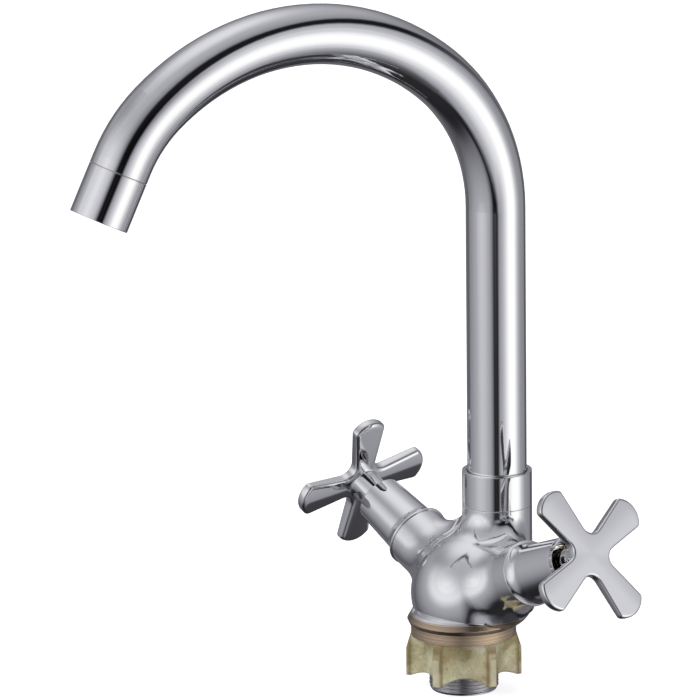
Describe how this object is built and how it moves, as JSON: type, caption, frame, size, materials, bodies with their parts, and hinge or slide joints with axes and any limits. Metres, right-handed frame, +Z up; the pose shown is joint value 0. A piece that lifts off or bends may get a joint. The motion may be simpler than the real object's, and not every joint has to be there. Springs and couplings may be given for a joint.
{
  "type": "two-handle kitchen faucet",
  "caption": "Deck-mounted kitchen faucet with a high arched swivel spout, two slanted cross handles and a threaded shank with a star-shaped clamping nut.",
  "frame": {"origin": "centre of the seat on the deck, on the shank's axis", "axes": "+Z up, -Y towards the user, the valves point to +X and -X, the tower stands behind the shank at +Y"},
  "size_m": [0.1727, 0.203, 0.2887],
  "materials": {
    "chrome": "mirror chrome plating on brass",
    "shank_chrome": "thin chrome plating on a threaded brass tube",
    "cast_brass": "raw sand-cast brass, pale and matt",
    "turned_brass": "turned brass with fine tool marks",
    "machined_brass": "machined brass",
    "ceramic": "lapped alumina",
    "white_plastic": "acetal",
    "rubber": "black rubber",
    "steel": "stainless steel"
  },
  "bodies": {
    "base": {"faucet_body": "chrome", "threaded_shank": "shank_chrome", "clamp_ring": "turned_brass", "star_nut": "cast_brass", "base_gasket": "rubber", "spout_collar": "chrome", "glide_washer": "white_plastic", "split_ring": "white_plastic", "left_headwork": "machined_brass", "left_bonnet_sleeve": "chrome", "left_seat_seal": "rubber", "left_fixed_disc": "ceramic", "right_headwork": "machined_brass", "right_bonnet_sleeve": "chrome", "right_seat_seal": "rubber", "right_fixed_disc": "ceramic"},
    "spout": {"spout_tube": "chrome", "spout_ferrule": "machined_brass", "spout_seals": "rubber", "tip_adapter": "machined_brass", "aerator_shell": "chrome", "aerator_washer": "rubber", "aerator_insert": "white_plastic"},
    "left_valve": {"left_cross_handle": "chrome", "left_handle_screw": "steel", "left_spindle": "machined_brass", "left_spindle_seal": "rubber", "left_spindle_clip": "steel", "left_moving_disc": "ceramic"},
    "right_valve": {"right_cross_handle": "chrome", "right_handle_screw": "steel", "right_spindle": "machined_brass", "right_spindle_seal": "rubber", "right_spindle_clip": "steel", "right_moving_disc": "ceramic"}
  },
  "joints": [
    {"name": "spout_swivel", "type": "hinge", "parent": "base", "child": "spout", "pos_m": [0, 0.0178, 0.05], "axis": [0, 0, 1], "continuous": true},
    {"name": "left_valve_turn", "type": "hinge", "parent": "base", "child": "left_valve", "pos_m": [0, 0.0053, 0.0116], "axis": [-0.9205, 0, 0.3907], "range_deg": [0, 90]},
    {"name": "right_valve_turn", "type": "hinge", "parent": "base", "child": "right_valve", "pos_m": [0, 0.0053, 0.0116], "axis": [0.9205, 0, 0.3907], "range_deg": [-90, 0]}
  ]
}
